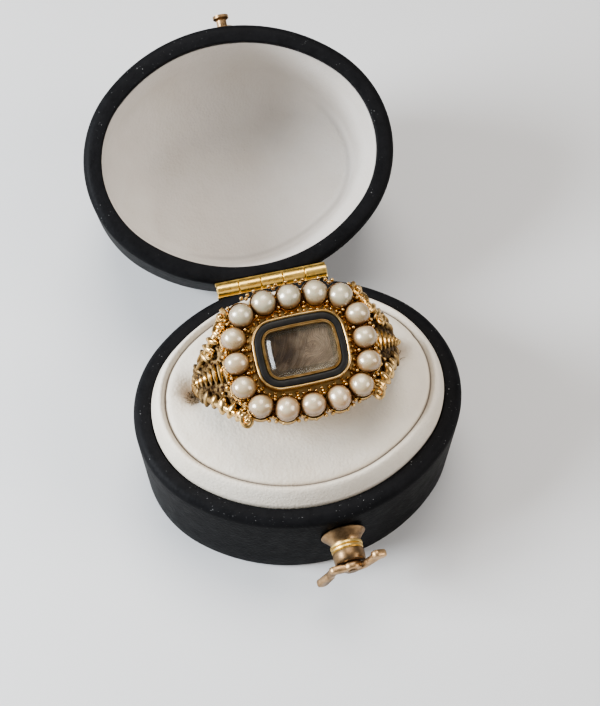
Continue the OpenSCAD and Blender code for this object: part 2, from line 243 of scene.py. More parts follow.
# Node helpers
class Nodes:
    def __init__(self, name):
        self.material = bpy.data.materials.new(name)
        self.material.use_nodes = True
        self.tree = self.material.node_tree
        self.tree.nodes.clear()
        out = self.add("ShaderNodeOutputMaterial")
        self.shader = self.add("ShaderNodeBsdfPrincipled")
        self.tree.links.new(self.shader.outputs[0], out.inputs[0])
        self.place = self.add("ShaderNodeTexCoord").outputs["Object"]

    def add(self, kind, **settings):
        node = self.tree.nodes.new(kind)
        for key, value in settings.items():
            setattr(node, key, value)
        return node

    def link(self, source, target):
        self.tree.links.new(source, target)

    def set(self, **values):
        for key, value in values.items():
            self.shader.inputs[key.replace("_", " ")].default_value = value

    def noise(self, scale, detail=3.0, rough=0.5, stretch=None, source=None):
        node = self.add("ShaderNodeTexNoise")
        node.inputs["Scale"].default_value = scale
        node.inputs["Detail"].default_value = detail
        node.inputs["Roughness"].default_value = rough
        source = source or self.place
        if stretch:
            mapping = self.add("ShaderNodeMapping")
            mapping.inputs["Scale"].default_value = stretch
            self.link(source, mapping.inputs["Vector"])
            source = mapping.outputs[0]
        self.link(source, node.inputs["Vector"])
        return node.outputs["Fac"]

    def cells(self, scale):
        node = self.add("ShaderNodeTexVoronoi")
        node.inputs["Scale"].default_value = scale
        self.link(self.place, node.inputs["Vector"])
        return node.outputs["Distance"]

    def span(self, source, low, high, start=0.0, end=1.0):
        node = self.add("ShaderNodeMapRange", clamp=True)
        for index, value in zip((1, 2, 3, 4), (low, high, start, end)):
            node.inputs[index].default_value = value
        self.link(source, node.inputs[0])
        return node.outputs[0]

    def mix(self, fac, one, two):
        node = self.add("ShaderNodeMix", data_type="RGBA")
        for socket, value in ((node.inputs[0], fac), (node.inputs[6], one), (node.inputs[7], two)):
            if isinstance(value, bpy.types.NodeSocket):
                self.link(value, socket)
            else:
                socket.default_value = value if isinstance(value, float) else (*value, 1)
        return node.outputs[2]

    def math(self, way, one, two):
        node = self.add("ShaderNodeMath", operation=way)
        for socket, value in ((node.inputs[0], one), (node.inputs[1], two)):
            if isinstance(value, bpy.types.NodeSocket):
                self.link(value, socket)
            else:
                socket.default_value = value
        return node.outputs[0]

    def times(self, one, two):
        return self.math("MULTIPLY", one, two)

    def mark(self, name):
        return self.add("ShaderNodeAttribute", attribute_name=name).outputs["Fac"]

    def color(self, source):
        self.link(source, self.shader.inputs["Base Color"])

    def rough(self, source):
        self.link(source, self.shader.inputs["Roughness"])

    # Roughness that wanders between two values, over a noise with the given settings
    def roughBetween(self, low, high, *grain):
        self.rough(self.span(self.noise(*grain), 0.3, 0.7, low, high))

    def bump(self, source, distance, strength=1.0, after=None):
        node = self.add("ShaderNodeBump")
        node.inputs["Strength"].default_value = strength
        node.inputs["Distance"].default_value = distance * mm
        self.link(source, node.inputs["Height"])
        if after:
            self.link(after, node.inputs["Normal"])
        self.link(node.outputs[0], self.shader.inputs["Normal"])
        return node.outputs[0]


# Materials
# The worn grey also stands for a painted sheen on the rims' edges
blackLook = {"color": (0.0025, 0.0025, 0.003), "worn": (0.032, 0.032, 0.034), "dust": (0.42, 0.42, 0.42),
             "grain": 3200}


def makeLeather():
    n = Nodes("boxLeather")
    n.set(Specular_IOR_Level=0.06)
    patches = n.noise(220, 4, 0.6)
    base = n.mix(n.span(patches, 0.3, 0.75), blackLook["color"], (0.005, 0.005, 0.006))
    # The rim's edge is mixed towards grey: partly wear, partly a painted sheen
    edge = n.times(n.mark("edge"), n.span(n.noise(900, 5, 0.7), 0.3, 0.72, 0.5, 1))
    base = n.mix(n.times(edge, 0.42), base, blackLook["worn"])
    specks = n.span(n.noise(6500, 2, 0.4), 0.72, 0.75)
    specks = n.times(specks, n.span(n.noise(260, 3, 0.6), 0.5, 0.62))
    where = n.times(specks, n.math("ADD", n.times(n.mark("edge"), 0.75), 0.2))
    n.color(n.mix(where, base, blackLook["dust"]))
    n.roughBetween(0.48, 0.58, 900, 4, 0.6)
    first = n.bump(n.cells(blackLook["grain"]), 0.05, 0.45)
    n.bump(n.noise(2300, 4, 0.6, stretch=(0.35, 0.35, 1.6)), 0.05, 0.22, after=first)
    return n.material


# The seam and stain colours also paint shade: in the slit, at its ends and at the lining's fold
creamLook = {"color": (0.8, 0.735, 0.63), "warm": (0.69, 0.59, 0.47), "seam": (0.055, 0.03, 0.018),
             "spots": (0.42, 0.33, 0.25), "stainAndShade": (0.33, 0.2, 0.11), "grain": 3600,
             "lining": (0.71, 0.675, 0.635), "liningWarm": (0.62, 0.57, 0.51)}


def makeCream(name, color, warm):
    n = Nodes(name)
    n.set(Specular_IOR_Level=0.35, Sheen_Weight=0.08)
    clouds = n.noise(140, 5, 0.62)
    base = n.mix(n.span(clouds, 0.42, 0.74, 0, 0.55), color, warm)
    spots = n.span(n.noise(2300, 2, 0.5), 0.73, 0.8, 0, 0.3)
    base = n.mix(spots, base, creamLook["spots"])
    # Darker at both ends of the slit: part stain, part painted shade where the shank goes into the pad
    stainAndShade = n.times(n.mark("stainAndShade"), n.span(n.noise(900, 4, 0.6), 0.3, 0.75, 0.35, 1))
    base = n.mix(stainAndShade, base, creamLook["stainAndShade"])
    # The seam colour draws the pad's real seam, and also paints shade along the slit and a shadow line at the
    # lining's fold
    base = n.mix(n.mark("seam"), base, creamLook["seam"])
    n.color(base)
    n.roughBetween(0.46, 0.6, 600, 3, 0.5)
    first = n.bump(n.cells(creamLook["grain"]), 0.06, 0.5)
    n.bump(n.noise(1100, 5, 0.65), 0.16, 0.5, after=first)
    return n.material


# The recess colour is patina and painted shade in the gold's hollows
goldLook = {"bright": (0.62, 0.38, 0.135), "pale": (0.8, 0.57, 0.28), "recess": (0.02, 0.008, 0.004)}


def makeGold():
    n = Nodes("ringGold")
    n.set(Metallic=1.0)
    worn = n.noise(900, 4, 0.6)
    base = n.mix(n.span(worn, 0.35, 0.7), goldLook["bright"], goldLook["pale"])
    # Darkened towards the recess colour: patina and painted shade in the hollows
    patinaAndShade = n.times(n.mark("recess"), n.span(n.noise(2600, 4, 0.65), 0.25, 0.6, 0.55, 1))
    base = n.mix(patinaAndShade, base, goldLook["recess"])
    n.color(base)
    rough = n.span(n.noise(1800, 3, 0.6), 0.3, 0.7, 0.17, 0.33)
    n.rough(n.math("ADD", rough, n.times(patinaAndShade, 0.35)))
    n.bump(n.noise(1900, 3, 0.55), 0.02, 0.2)
    return n.material


def makeBrass(name, bright, darkerBrass, share, rough, collar=None):
    n = Nodes(name)
    n.set(Metallic=1.0)
    patches = n.span(n.noise(650, 5, 0.65), 0.5 - share, 0.75 - share)
    base = n.mix(patches, bright, darkerBrass)
    if collar:
        base = n.mix(n.times(n.mark("collar"), 0.8), base, collar)
        # The second mark paints shade on the clasp's post, and darkens its plate by the wall
        base = n.mix(n.mark("darkerBrass"), base, darkerBrass)
    n.color(base)
    n.roughBetween(rough, rough + 0.2, 1400, 4, 0.6)
    first = n.bump(n.noise(1200, 4, 0.6), 0.04, 0.4)
    n.bump(n.noise(4200, 2, 0.5, stretch=(0.12, 1, 1)), 0.012, 0.5, after=first)
    return n.material


def makeEnamel():
    n = Nodes("blackEnamel")
    n.set(Specular_IOR_Level=0.28)
    n.color(n.mix(n.span(n.noise(1500, 4, 0.6), 0.4, 0.7), (0.011, 0.010, 0.009), (0.02, 0.018, 0.016)))
    n.roughBetween(0.4, 0.52, 2400, 3, 0.6)
    n.bump(n.noise(900, 3, 0.5), 0.03, 0.25)
    return n.material


# low is the painted shade on a pearl's underside, top the painted highlight near its top
pearlLook = {"cream": (0.48, 0.335, 0.17), "cool": (0.44, 0.39, 0.26), "rose": (0.52, 0.335, 0.18),
             "low": (0.19, 0.09, 0.03), "top": (0.7, 0.61, 0.44)}


def makePearl():
    n = Nodes("pearlNacre")
    n.set(Subsurface_Weight=0.1, Subsurface_Scale=0.0004, Coat_Weight=1.0, Coat_Roughness=0.21, Coat_IOR=1.7)
    n.set(Specular_IOR_Level=0.8, Metallic=0.1)
    tint = n.mark("tint")
    base = n.mix(n.span(tint, 0.35, 0.9), pearlLook["cream"], pearlLook["cool"])
    base = n.mix(n.span(tint, 0.3, 0.05, 0, 0.8), base, pearlLook["rose"])
    rings = n.noise(1300, 3, 0.5, stretch=(0.5, 1, 2.2))
    # A painted highlight near the top of each pearl, and painted shade on its underside
    bright = n.times(n.mark("top"), n.span(rings, 0.3, 0.65, 0.35, 0.95))
    base = n.mix(bright, base, pearlLook["top"])
    base = n.mix(n.mark("low"), base, pearlLook["low"])
    n.color(base)
    n.roughBetween(0.24, 0.36, 1500, 3, 0.6)
    n.bump(n.noise(900, 3, 0.55), 0.05, 0.4)
    return n.material


hairLook = {"dark": (0.022, 0.011, 0.006), "mid": (0.15, 0.092, 0.052), "pale": (0.52, 0.39, 0.28)}


def makeHair():
    n = Nodes("hairWork")
    n.set(Specular_IOR_Level=0.2)
    across, along = n.mark("across"), n.mark("along")
    joined = n.add("ShaderNodeCombineXYZ")
    n.link(across, joined.inputs[0])
    n.link(n.times(along, 0.05), joined.inputs[1])
    fine = n.noise(11, 3, 0.6, source=joined.outputs[0])
    wide = n.noise(2.4, 3, 0.55, source=joined.outputs[0])
    patches = n.noise(620, 3, 0.55)
    pale = n.math("ADD", n.mark("pale"), n.times(n.math("SUBTRACT", patches, 0.5), 1.6))
    base = n.mix(n.span(pale, 0.05, 1), hairLook["mid"], hairLook["pale"])
    base = n.mix(n.span(fine, 0.38, 0.6, 0.62, 0), base, hairLook["dark"])
    base = n.mix(n.span(wide, 0.52, 0.72, 0, 0.3), base, hairLook["pale"])
    base = n.mix(n.times(n.mark("clump"), n.span(fine, 0.3, 0.7, 1, 0.55)), base, hairLook["dark"])
    n.color(base)
    n.rough(n.span(fine, 0.3, 0.7, 0.36, 0.55))
    n.bump(fine, 0.06, 0.6)
    return n.material


def makeCrystal():
    n = Nodes("rockCrystal")
    n.set(Transmission_Weight=1.0, IOR=1.4, Specular_IOR_Level=0.32)
    clear = n.mix(n.span(n.noise(500, 3, 0.5), 0.35, 0.7), (0.97, 0.975, 0.96), (0.92, 0.93, 0.91))
    # The bevel's facets are tinted grey-green: a painted reflection of what the facets show
    n.color(n.mix(n.times(n.mark("bevel"), 0.7), clear, (0.42, 0.47, 0.41)))
    polish = n.span(n.noise(1500, 3, 0.6), 0.4, 0.75, 0.0, 0.05)
    n.rough(n.math("ADD", polish, n.times(n.mark("bevel"), 0.2)))
    n.bump(n.noise(700, 2, 0.5), 0.01, 0.1)
    return n.material


def makeFibre():
    n = Nodes("frayedThread")
    n.color(n.mix(n.noise(3000, 3, 0.6), (0.4, 0.3, 0.19), (0.09, 0.06, 0.03)))
    n.roughBetween(0.7, 0.9, 2000)
    return n.material


# The material of each slot
looks = {
    "box_leather": makeLeather(),
    "pad_cream": makeCream("padCream", creamLook["color"], creamLook["warm"]),
    "lining_white": makeCream("liningCream", creamLook["lining"], creamLook["liningWarm"]),
    "ring_gold": makeGold(),
    "hinge_brass": makeBrass("hingeBrass", (0.88, 0.63, 0.22), (0.66, 0.42, 0.12), 0.0, 0.24),
    "clasp_brass": makeBrass("claspBrass", (0.5, 0.33, 0.18), (0.12, 0.075, 0.04), 0.08, 0.3,
                             (0.72, 0.52, 0.2)),
    "enamel": makeEnamel(),
    "pearl": makePearl(),
    "hair": makeHair(),
    "crystal": makeCrystal(),
}
fibre = makeFibre()
nodeSlots = {
    "base_shell": "box_leather", "lid_shell": "box_leather", "pad": "pad_cream", "lid_lining": "lining_white",
    "hinge_base": "hinge_brass", "hinge_lid": "hinge_brass", "hinge_pin": "hinge_brass",
    "clasp_plate": "clasp_brass", "clasp_hook": "clasp_brass", "lid_catch": "clasp_brass",
    "ring_body": "ring_gold", "enamel_border": "enamel", "hair_panel": "hair", "crystal": "crystal",
}
for name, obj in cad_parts.items():
    obj.data.materials.clear()
    obj.data.materials.append(looks[nodeSlots.get(name, "pearl")])
print("materials made")


# Cuts the hinge's notch out of a shell
def cutNotch(obj):
    bm = bmesh.new()
    bmesh.ops.create_cube(bm, size=1)
    for v in bm.verts:
        v.co = Vector((v.co.x * (hinge["length"] + 0.2), v.co.y * 1.9, v.co.z * 1.9))
    place = Matrix.Translation((hinge["x"], box["b"], hinge["z"]))
    cutter = makeObject("notchCutter", bm, place=(lidPlace @ place) if obj.name == "lidShell" else place)
    cut = obj.modifiers.new("notch", "BOOLEAN")
    cut.operation, cut.solver, cut.object = "DIFFERENCE", "EXACT", cutter
    with bpy.context.temp_override(object=obj, active_object=obj, selected_objects=[obj]):
        bpy.ops.object.modifier_apply(modifier="notch")
    bpy.data.objects.remove(cutter)
    obj.data.shade_smooth()
    obj.data.set_sharp_from_angle(angle=radians(35))


# Base of the box
base = {"steps": 144, "footRound": 0.6, "insideZ": 8.6}


def makeBase():
    bm = bmesh.new()
    foot, rim, top, wall = base["footRound"], box["rim"], box["baseH"], box["wall"]
    rows = [(1.9, 0.15), (1.7, 0.0), (foot, 0.0)] + arcRows(foot, foot, foot, 270, 180, 4)
    rows += [(0.0, 3.0), (0.0, 6.5), (0.0, 10.0)] + arcRows(rim, top - rim, rim, 180, 90, 7)
    rows += [(1.35, top - 0.02), (1.66, top - 0.12), (wall, top - 0.35), (wall, top - 1.2)]
    rows += [(wall, base["insideZ"])]
    loft(bm, ovalPoint, rows, base["steps"])
    # The rim's top edge takes the leather's worn grey, which is partly a painted sheen
    marks = {"edge": lambda p: ease(10.9, 12.1, p.z)}
    obj = makeObject("baseShell", bm, marks=marks, slot="box_leather")
    cutNotch(obj)
    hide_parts("base_shell")


makeBase()
print("base made")

# Pad: a rolled band, a seam and a low dome, with the slit that holds the ring
pad = {"inset": 1.85, "bandTop": 1.55, "seamInset": 3.35, "seamDepth": 0.32, "seamWidth": 0.17,
       "domeTop": 3.1, "slitY": 1.72, "slitDepth": 1.5, "slitWidth": 0.2,
       "scaledFrom": 8, "steps": 200}


def padHeight(inside, x, y):
    top = box["baseH"]
    band = ease(pad["inset"], 3.0, inside) ** 0.6 * pad["bandTop"] + 0.25
    swell = 0.35 * bell((inside - 2.75) / 0.5)
    inner = ease(3.0, 9.5, inside) ** 0.75 * (pad["domeTop"] - 2.1)
    inner += 0.2 * ease(pad["seamInset"], 4.1, inside)
    z = top - 0.1 + band + swell + inner
    z -= pad["seamDepth"] * bell((inside - pad["seamInset"]) / pad["seamWidth"])
    # The slit leans with the ring, and the cover draws down towards the shank at both of its ends
    line = y - pad["slitY"]
    slit = bell(line / pad["slitWidth"]) * ease(10.9, 9.9, abs(x))
    z -= pad["slitDepth"] * slit
    z -= 0.35 * bell(line / 1.1) * ease(11.6, 9.5, abs(x))
    for side in (-1, 1):
        away = hypot((x - side * 9.9) / 1.5, line / 1.75)
        z -= 1.35 * exp(-(away**2.4))
    # A crease from the right end of the slit to the seam, and soft dents elsewhere
    crease = (x - 10.6) * 0.42 - (line - 0.2)
    z -= 0.16 * bell(crease / 0.22) * ease(10.0, 11.2, x) * ease(3.1, 3.6, inside)
    crease = (-x - 10.4) * 0.3 + (line - 0.3)
    z -= 0.12 * bell(crease / 0.25) * ease(10.0, 11.0, -x) * ease(3.1, 3.6, inside)
    z += 0.1 * noise.noise(Vector((x * 0.28, y * 0.28, 3.1))) * ease(1.9, 3.0, inside)
    z += 0.03 * noise.noise(Vector((x * 1.1, y * 1.1, 7.7)))
    return z


# How far a point lies inside the box's oval
def insideOf(x, y):
    ax, ay = abs(x), abs(y)
    byEnd = atan2(ay + box["sideY"], ax) < box["turn"] or ax > box["sideR"] * cos(box["turn"])
    if byEnd or (ax > box["endX"] and atan2(ay, ax - box["endX"]) < box["turn"]):
        return box["endR"] - hypot(ax - box["endX"], ay)
    return box["sideR"] - hypot(ax, ay + box["sideY"])


# Inside the end arcs' own radius the rows shrink towards a line, so the oval is scaled from there
def padOutline(inside, t):
    if inside <= pad["scaledFrom"]:
        return ovalPoint(inside, t)
    x, y = ovalPoint(pad["scaledFrom"], t)
    share = max(0.02, 1 - (inside - pad["scaledFrom"]) / 3.4)
    return (x * share, y * share)


def makePad():
    bm = bmesh.new()
    rows = [(pad["inset"] + 0.1, 9.2), (pad["inset"], 9.4), (pad["inset"], 11.9)]
    insets = [1.87, 1.92, 2.0, 2.1, 2.2, 2.32, 2.45, 2.6, 2.75, 2.9, 3.02, 3.1, 3.17, 3.24, 3.3, 3.35, 3.4]
    insets += [3.46, 3.53, 3.6, 3.7, 3.85, 4.0] + [4.0 + 0.22 * i for i in range(1, 34)]

    def height(x, y, row):
        return row[1] if row[1] is not None else padHeight(insideOf(x, y), x, y)

    rows += [(i, None) for i in insets]
    loft(bm, padOutline, rows, pad["steps"], height=height)

    def seam(p):
        inside = insideOf(p.x, p.y)
        line = bell((inside - pad["seamInset"] - 0.02) / 0.085) if p.z > 12.4 else 0
        # Along the slit the dark line is painted shade inside the cut
        slit = bell((p.y - pad["slitY"]) / 0.13) * ease(10.6, 9.6, abs(p.x))
        return min(1, 0.9 * line + 0.85 * slit)

    # Darker at both ends of the slit: part stain, part painted shade where the shank goes into the pad
    def stainAndShade(p):
        value = 0
        for side, share in ((-1, 1.0), (1, 0.6)):
            away = hypot((p.x - side * 10.2) / 1.0, (p.y - 1.6) / 0.9)
            value += share * bell(away)
        return min(1, value)

    obj = makeObject("padCushion", bm, angle=80, marks={"seam": seam, "stainAndShade": stainAndShade}, slot="pad_cream")
    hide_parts("pad")


makePad()
print("pad made")

# Frayed threads where the shank goes into the pad
fray = {"count": 60, "radius": 0.045, "length": 1.0, "legs": 5}


def makeFray():
    random.seed(5)
    bm = bmesh.new()
    legs = fray["legs"]
    for i in range(fray["count"]):
        side = -1 if i % 3 else 1
        x = side * (10.35 + random.uniform(-0.4, 0.45))
        y = 1.3 + random.uniform(-0.9, 0.7)
        z = padHeight(insideOf(x, y), x, y) + 0.02
        turn = random.uniform(0, 2 * pi)
        length = fray["length"] * random.uniform(0.4, 1)
        points = []
        for k in range(legs + 1):
            turn += random.uniform(-0.5, 0.5)
            points.append(Vector((x, y, z + 0.28 * sin(k / legs * 2.6))))
            x += length / legs * cos(turn)
            y += length / legs * sin(turn)
        tube(bm, points, [fray["radius"] * (1 - 0.6 * k / legs) for k in range(legs + 1)], (0, 0, 1), sides=5)
    obj = makeObject("slotFray", bm, angle=80)
    obj.data.materials.append(fibre)


makeFray()

# Lid: a deep cup with a wide lip
lid = {"depth": 15.8, "wall": 1.25, "lip": 1.9, "round": 4.5, "gap": 0.15, "steps": 144}
lipZ = box["baseH"] + lid["gap"]
lidTop = lipZ + lid["depth"]


def makeLidShell():
    bm = bmesh.new()
    r, wall, lip, rim = lid["round"], lid["wall"], lid["lip"], box["rim"]
    rows = arcRows(r, lidTop - r, r - wall, 90, 180, 8)
    rows += [(wall, lipZ + 0.75), (lip - 0.12, lipZ + 0.75), (lip, lipZ + 0.6)]
    rows += [(lip, lipZ + 0.2), (lip - 0.12, lipZ + 0.06), (lip - 0.32, lipZ + 0.02)]
    rows += [(1.2, lipZ)] + arcRows(rim, lipZ + rim, rim, 270, 180, 6)
    rows += [(0.0, lipZ + 5), (0.0, lipZ + 8)] + arcRows(r, lidTop - r, r, 180, 90, 10)
    loft(bm, ovalPoint, rows, lid["steps"])
    # The lip takes the leather's worn grey, which is partly a painted sheen
    marks = {"edge": lambda p: ease(lipZ + 1.3, lipZ, p.z)}
    obj = makeObject("lidShell", bm, place=lidPlace, marks=marks, body="lid", slot="box_leather")
    cutNotch(obj)
    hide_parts("lid_shell")


# Lining: a soft cup whose wall leans in on the hinge's side
lining = {"thick": 0.6, "edge": 0.85, "rows": 40, "lean": 1.5, "foldAngle": 50}
lining["side"] = lid["wall"] + 0.05
lining["outerR"] = lid["round"] - lining["side"]
lining["wallIn"] = lining["side"] + lining["thick"]
lining["mid"] = lidTop - lid["round"]
lining["floorZ"] = lining["mid"] + lining["outerR"] - lining["thick"]


def wallLean(a):
    return lining["lean"] * ease(-0.1, 0.95, sin(a))


# The lining's inner face, from its edge at a share of 0 to the middle of its floor at 1
def liningInner(f, t):
    a = 2 * pi * t
    floorZ, wallIn, lean = lining["floorZ"], lining["wallIn"], wallLean(a)
    soft = ease(-0.2, 0.75, -cos(a - radians(lining["foldAngle"])))
    bend = (lining["outerR"] - lining["thick"]) * 0.5 + 5.2 * soft
    if f > 0.5:
        share = (f - 0.5) / 0.5
        x, y = ovalPoint(wallIn + lean + bend, t)
        return (x * (1 - share * 0.97), y * (1 - share * 0.97), floorZ)
    if f > 0.2:
        turn = radians(90 * (f - 0.2) / 0.3)
        drop = bend * (1 - sin(turn))
        return (*ovalPoint(wallIn + lean + bend - bend * cos(turn), t), floorZ - drop)
    share = f / 0.2
    low = lipZ + lining["edge"]
    return (*ovalPoint(wallIn + lean * share, t), low + (floorZ - bend - low) * share)


# A painted shadow: the soft brown line where the floor's lining meets the wall's, on one side of the cup only
def liningFoldShadow(p):
    a = atan2(p.y, p.x)
    facing = ease(-0.1, 0.6, cos(a - radians(lining["foldAngle"])))
    fold = lining["wallIn"] + wallLean(a) + 0.7
    line = bell((insideOf(p.x, p.y) - fold) / 0.3)
    return 0.26 * facing * line if abs(p.z - lining["floorZ"]) < 1.3 else 0


def makeLidLining():
    bm = bmesh.new()
    outerRows = [(lining["side"], lipZ + lining["edge"])]
    outerRows += arcRows(lid["round"], lining["mid"], lining["outerR"], 180, 90, 6)

    def cup(step, t):
        # Steps under 0 are the inner face, and the others the outer one
        if step < 0:
            return liningInner(-step / lining["rows"], t)
        return (*ovalPoint(outerRows[int(step)][0], t), outerRows[int(step)][1])

    rows = [(-k, 0) for k in range(lining["rows"], 0, -1)] + [(-0.001, 0)]
    rows += [(k, 0) for k in range(len(outerRows))]
    loft(bm, cup, rows, lid["steps"])
    for v in bm.verts:
        if insideOf(v.co.x, v.co.y) > lining["side"] + 0.45:
            v.co.z += min(0, 0.05 * noise.noise(Vector((v.co.x * 0.5, v.co.y * 0.5, v.co.z * 0.3))))
    marks = {"seam": liningFoldShadow, "stainAndShade": lambda p: 0}
    obj = makeObject("lidLining", bm, place=lidPlace, angle=60, marks=marks, body="lid", slot="lining_white")
    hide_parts("lid_lining")


makeLidShell()
makeLidLining()
print("lid made")

# Hinge: knuckles on a pin, the outer ones on the base
barrel = {"bevel": 0.07, "gap": 0.06, "steps": 32}


def makeHinge():
    step = hinge["length"] / hinge["knuckles"]
    for name, first, node, place, body in (
        ("hingeBase", 0, "hinge_base", unitPlace, "base"),
        ("hingeLid", 1, "hinge_lid", lidPlace, "lid"),
    ):
        bm = bmesh.new()
        for i in range(first, hinge["knuckles"], 2):
            x = hinge["x"] - hinge["length"] / 2 + i * step + barrel["gap"] / 2
            long, r, cut = step - barrel["gap"], hinge["radius"], barrel["bevel"]
            spots = [(0, r - 0.3), (0, r - cut), (cut, r), (long - cut, r), (long, r - cut), (long, r - 0.3)]
            start = Vector((x, hinge["y"], hinge["z"]))
            points = [start + Vector((along, 0, out)) for along, out in spots]
            turned(bm, points, start, (1, 0, 0), barrel["steps"])
        low = hinge["z"] - 0.92 if first == 0 else hinge["z"] + 0.2
        made = bmesh.ops.create_cube(bm, size=1)["verts"]
        for v in made:
            y, z = box["b"] - 0.72 + v.co.y * 0.34, low + 0.36 + v.co.z * 0.7
            v.co = Vector((hinge["x"] + v.co.x * hinge["length"], y, z))
        obj = makeObject(name, bm, place=place, body=body, slot="hinge_brass")
        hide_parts(node)


makeHinge()
print("hinge made")

# Clasp: a turned plate and post on the front wall, and the hook
clasp = {"x": 1.1, "z": 8.1, "post": 0.5, "hookOut": 3.17, "steps": 48}


def makeClaspPlate():
    place = (
        Matrix.Translation((clasp["x"], -box["b"] - 0.02, clasp["z"]))
        @ Matrix.Rotation(radians(-90), 4, "Z")
    )
    bm = bmesh.new()
    # The profile: distance along the post, and radius
    spots = [(0, 0.001), (0, 2.08), (0.06, 2.18), (0.16, 2.2), (0.26, 2.12), (0.5, 1.86), (0.8, 1.6)]
    spots += [(1.05, 1.42), (1.16, 1.4), (1.2, 1.52), (1.26, 1.6), (1.44, 1.6), (1.5, 1.52), (1.53, 1.45)]
    spots += [(1.57, 1.5), (1.62, 1.56), (1.8, 1.56), (1.86, 1.46), (1.92, 1.5), (2.05, 1.55), (2.5, 1.56)]
    spots += [(2.95, 1.52), (3.08, 1.42), (3.1, 1.3), (3.1, clasp["post"]), (3.85, clasp["post"])]
    spots += [(3.95, 0.4), (3.95, 0.001)]
    points = [Vector((along, 0, r)) for along, r in spots]
    turned(bm, points, Vector((0, 0, 0)), (1, 0, 0), clasp["steps"], close=False)
    marks = {
        "collar": lambda p: ease(1.12, 1.24, p.x) * ease(2.05, 1.9, p.x),
        # Darker on the plate by the wall, and painted shade on the post beyond the collar
        "darkerBrass": lambda p: 0.65 * ease(1.95, 2.15, p.x) + 0.3 * ease(1.2, 0.9, p.x),
    }
    obj = makeObject("claspPlate", bm, place=place, marks=marks, slot="clasp_brass")
    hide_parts("clasp_plate")


# A bar's outline, with a round end of radius r at p and one of s at q, each with half of the steps
def stadium(p, q, r, s):
    p, q = Vector(p), Vector(q)
    way = atan2(q.y - p.y, q.x - p.x)
    half = clasp["steps"] / 2

    def point(inside, t):
        share = min(1, (t % 0.5) / 0.5 * half / (half - 1))
        a = way - pi / 2 + pi * share + (pi if t >= 0.5 else 0)
        centre, size = (q, s) if t < 0.5 else (p, r)
        return (centre.x + (size - inside) * cos(a), centre.y + (size - inside) * sin(a))

    return point


def makeClaspHook():
    bm = bmesh.new()
    rows = [(0.22, 0.0), (0.06, 0.05), (0.0, 0.18), (0.0, 0.5), (0.06, 0.63), (0.22, 0.69)]
    parts = [
        # from, to, radius at each end, lift
        ((0, 0), (0.05, 0), 0.93, 0.93, 0),
        ((-0.2, -0.5), (1.3, 0.1), 0.42, 0.36, 0.02),
        ((1.3, 0.1), (2.45, 1.8), 0.36, 0.4, 0.01),
        ((2.3, 2.15), (2.7, 2.0), 0.55, 0.55, 0.0),
        ((-0.5, 0.15), (-1.75, 0.2), 0.52, 0.5, 0.01),
        ((-1.75, 0.1), (-2.15, -1.1), 0.34, 0.38, 0),
        ((-2.15, -1.2), (-2.85, -2.75), 0.45, 0.55, 0.01),
    ]
    for p, q, r, s, lift in parts:
        loft(bm, stadium(p, q, r, s), [(i, z + lift) for i, z in rows], clasp["steps"])
    place = (
        Matrix.Translation((clasp["x"], -box["b"] - clasp["hookOut"], clasp["z"]))
        @ Matrix.Rotation(radians(90), 4, "X")
    )
    obj = makeObject("claspHook", bm, place=place, slot="clasp_brass")
    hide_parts("clasp_hook")


makeClaspPlate()
makeClaspHook()
print("clasp made")

# The ring, drawn with the pearls' centres in its XY plane and the finger hole along Y
pearlQuarter = [(0, 5.08, 1.18), (2.42, 4.97, 1.18), (4.67, 4.25, 1.162), (5.81, 2.26, 1.11), (5.98, 0, 1.11)]
pearls = [(-x, y, r) for x, y, r in pearlQuarter]
pearls += [(-x, -y, r) for x, y, r in reversed(pearlQuarter[:4])]
pearls += [(x, -y, r) for x, y, r in pearlQuarter[1:]]
pearls += [(x, y, r) for x, y, r in reversed(pearlQuarter[1:4])]
head = {"plateTop": -0.42, "plateLow": -1.5, "edge": 0.12, "frameA": 4.35, "frameB": 3.3, "frameR": 2.12,
        "bow": 0.06, "border": 0.25, "enamel": 0.66, "inner": 0.28, "steps": 120}


# The plate's outline: the furthest edge of a pearl's seat in each direction
def scallop(inside, t):
    a = 2 * pi * t
    way = Vector((cos(a), sin(a)))
    best = 3.5
    for x, y, r in pearls:
        reach = r + head["edge"]
        along = way.x * x + way.y * y
        off = abs(way.x * y - way.y * x)
        if along > 0 and off < reach:
            best = max(best, along + sqrt(reach * reach - off * off))
    return ((best - inside) * way.x, (best - inside) * way.y)


def shoulderPoint(angle, along, radius):
    a = radians(angle)
    return Vector((radius * sin(a), along, -ring["drop"] + radius * cos(a)))


def shoulderUp(angle):
    a = radians(angle)
    return Vector((sin(a), 0, cos(a)))


armRows = {
    # angle from the head's middle, distance along the finger, radius from the finger's middle
    1: [(75, 0.1, 10.4), (66, 0.35, 10.9), (59, 0.7, 11.3), (53, 1.1, 11.7), (46.5, 1.8, 12.0),
        (41, 2.6, 12.2), (36, 3.4, 12.3), (32.5, 4.1, 12.3), (30.5, 4.6, 12.25)],
    -1: [(75, 0.2, 10.4), (67, 0.7, 10.85), (60, 1.15, 11.25), (53.5, 1.75, 11.65), (47, 2.5, 12.0),
         (41, 3.3, 12.2), (35.5, 4.15, 12.3), (31, 4.8, 12.3), (28.5, 5.15, 12.2)],
}


# An arm's row at a share of its length, for the back arm (1) or the front one (-1)
def armAt(f, flip):
    rows = armRows[flip]
    f = min(max(f, 0), 1) * (len(rows) - 1)
    i = min(int(f), len(rows) - 2)
    return tuple(p + (q - p) * (f - i) for p, q in zip(rows[i], rows[i + 1]))


def webRadius(angle):
    return ring["fingerR"] + 1.0 + 1.75 * ease(80, 46, angle)


